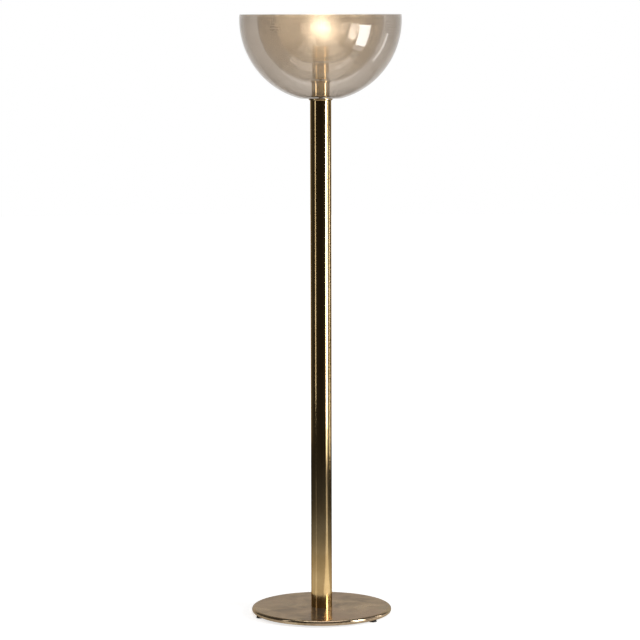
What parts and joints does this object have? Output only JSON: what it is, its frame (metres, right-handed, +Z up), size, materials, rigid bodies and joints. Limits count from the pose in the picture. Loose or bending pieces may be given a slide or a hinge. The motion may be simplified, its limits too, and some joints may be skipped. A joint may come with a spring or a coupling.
{
  "type": "torchiere floor lamp",
  "caption": "Uplighting floor lamp: nested bowls of smoked bubble glass round a bulb, on a brass pole with a round weighted base.",
  "frame": {"origin": "on the floor, under the middle of the base", "axes": "+Z up along the pole, +Y to the rear, where the flex leaves, +X to the right seen from the front"},
  "size_m": [0.4666, 0.4664, 1.75],
  "materials": {
    "base_brass": "polished, lightly aged",
    "pole_brass": "polished, lightly aged",
    "turned_brass": "turned and polished",
    "iron": "rough casting, black paint",
    "plate_steel": "satin black",
    "foot_rubber": "matt",
    "gasket_rubber": "matt",
    "screw_steel": "zinc plated",
    "plug_steel": "turned, zinc plated",
    "bush_plastic": "matt",
    "lead_sheath": "matt",
    "smoked_glass": "clear, smoke-brown, with small bubbles",
    "porcelain": "glazed",
    "contact_brass": "bright",
    "bulb_pearl": "pearl, lit warm",
    "cap_metal": "rolled",
    "black_glass": "glossy black",
    "stem_glass": "clear",
    "wire_metal": "drawn wire",
    "filament_tungsten": "glowing"
  },
  "bodies": {
    "lamp": {"base_cover": "base_brass", "base_weight": "iron", "bottom_plate": "plate_steel", "foot_back": "foot_rubber", "foot_left": "foot_rubber", "foot_right": "foot_rubber", "foot_screws": "screw_steel", "foot_washers": "screw_steel", "cord_inlet_bush": "bush_plastic", "pole_foot_plug": "plug_steel", "plug_screws": "screw_steel", "pole_tube": "pole_brass", "pole_top_flange": "turned_brass", "tie_rod": "plug_steel", "inner_lead": "lead_sheath", "outer_bowl": "smoked_glass", "middle_bowl": "smoked_glass", "inner_bowl": "smoked_glass", "outer_bowl_lower_gasket": "gasket_rubber", "outer_bowl_upper_gasket": "gasket_rubber", "middle_bowl_lower_gasket": "gasket_rubber", "middle_bowl_upper_gasket": "gasket_rubber", "inner_bowl_lower_gasket": "gasket_rubber", "inner_bowl_upper_gasket": "gasket_rubber", "outer_clamp_washer": "turned_brass", "lower_spacer": "turned_brass", "middle_bowl_seat": "turned_brass", "upper_spacer": "turned_brass", "inner_bowl_seat": "turned_brass", "socket_cup": "turned_brass", "clamp_washer": "screw_steel", "clamp_nut": "screw_steel", "lampholder_body": "porcelain", "screw_shell": "contact_brass", "centre_contact": "contact_brass", "terminal_screws": "contact_brass"},
    "bulb": {"bulb_glass": "bulb_pearl", "bulb_cap": "cap_metal", "bulb_tip_contact": "contact_brass", "bulb_insulator": "black_glass", "bulb_stem": "stem_glass", "filament_wires": "wire_metal", "filament": "filament_tungsten"}
  },
  "joints": [
    {"name": "bulb_lift", "type": "slide", "parent": "lamp", "child": "bulb", "axis": [0, 0, 1], "range_m": [0, 0.13]}
  ]
}
